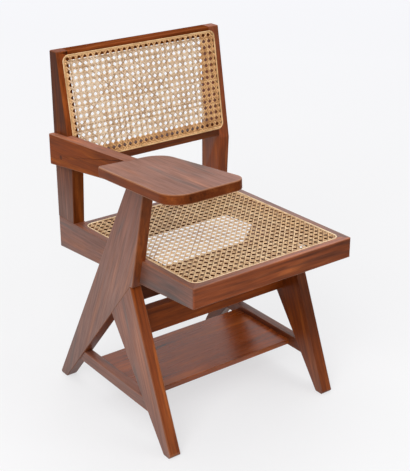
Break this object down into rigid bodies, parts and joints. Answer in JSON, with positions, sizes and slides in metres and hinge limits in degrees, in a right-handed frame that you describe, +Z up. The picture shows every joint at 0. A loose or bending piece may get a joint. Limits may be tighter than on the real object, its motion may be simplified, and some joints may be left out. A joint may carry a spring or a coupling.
{
  "type": "writing arm chair",
  "caption": "Teak chair with compass legs, caned seat and back, a fixed writing tablet on one arm and a low book shelf.",
  "frame": {"origin": "on the floor, under the middle of the whole chair's box", "axes": "+Z up, -Y to the front where the sitter's knees are, -X to the writing tablet's side"},
  "size_m": [0.5342, 0.5896, 0.8],
  "materials": {
    "teak": "oiled teak, satin, worn",
    "cane": "woven rattan cane, satin",
    "spline": "rattan spline, satin",
    "dowel": "plain beech, glued in",
    "screw": "plain steel"
  },
  "bodies": {
    "root": {"tablet_side_rail": "teak", "open_side_rail": "teak", "seat_front_rail": "teak", "seat_rear_rail": "teak", "tablet_upright": "teak", "open_upright": "teak", "back_top_rail": "teak", "back_bottom_rail": "teak", "arm_rail": "teak", "writing_tablet": "teak", "tablet_long_leg": "teak", "tablet_front_leg": "teak", "open_rear_leg": "teak", "open_front_leg": "teak", "tablet_stretcher": "teak", "open_stretcher": "teak", "book_shelf": "teak", "seat_bearer": "teak", "cross_rail": "teak", "arm_plug": "teak", "seat_cane": "cane", "back_cane": "cane", "seat_spline": "spline", "back_spline": "spline", "leg_dowels": "dowel", "tablet_dowels": "dowel", "leg_screws": "screw", "arm_screw": "screw"}
  },
  "joints": []
}
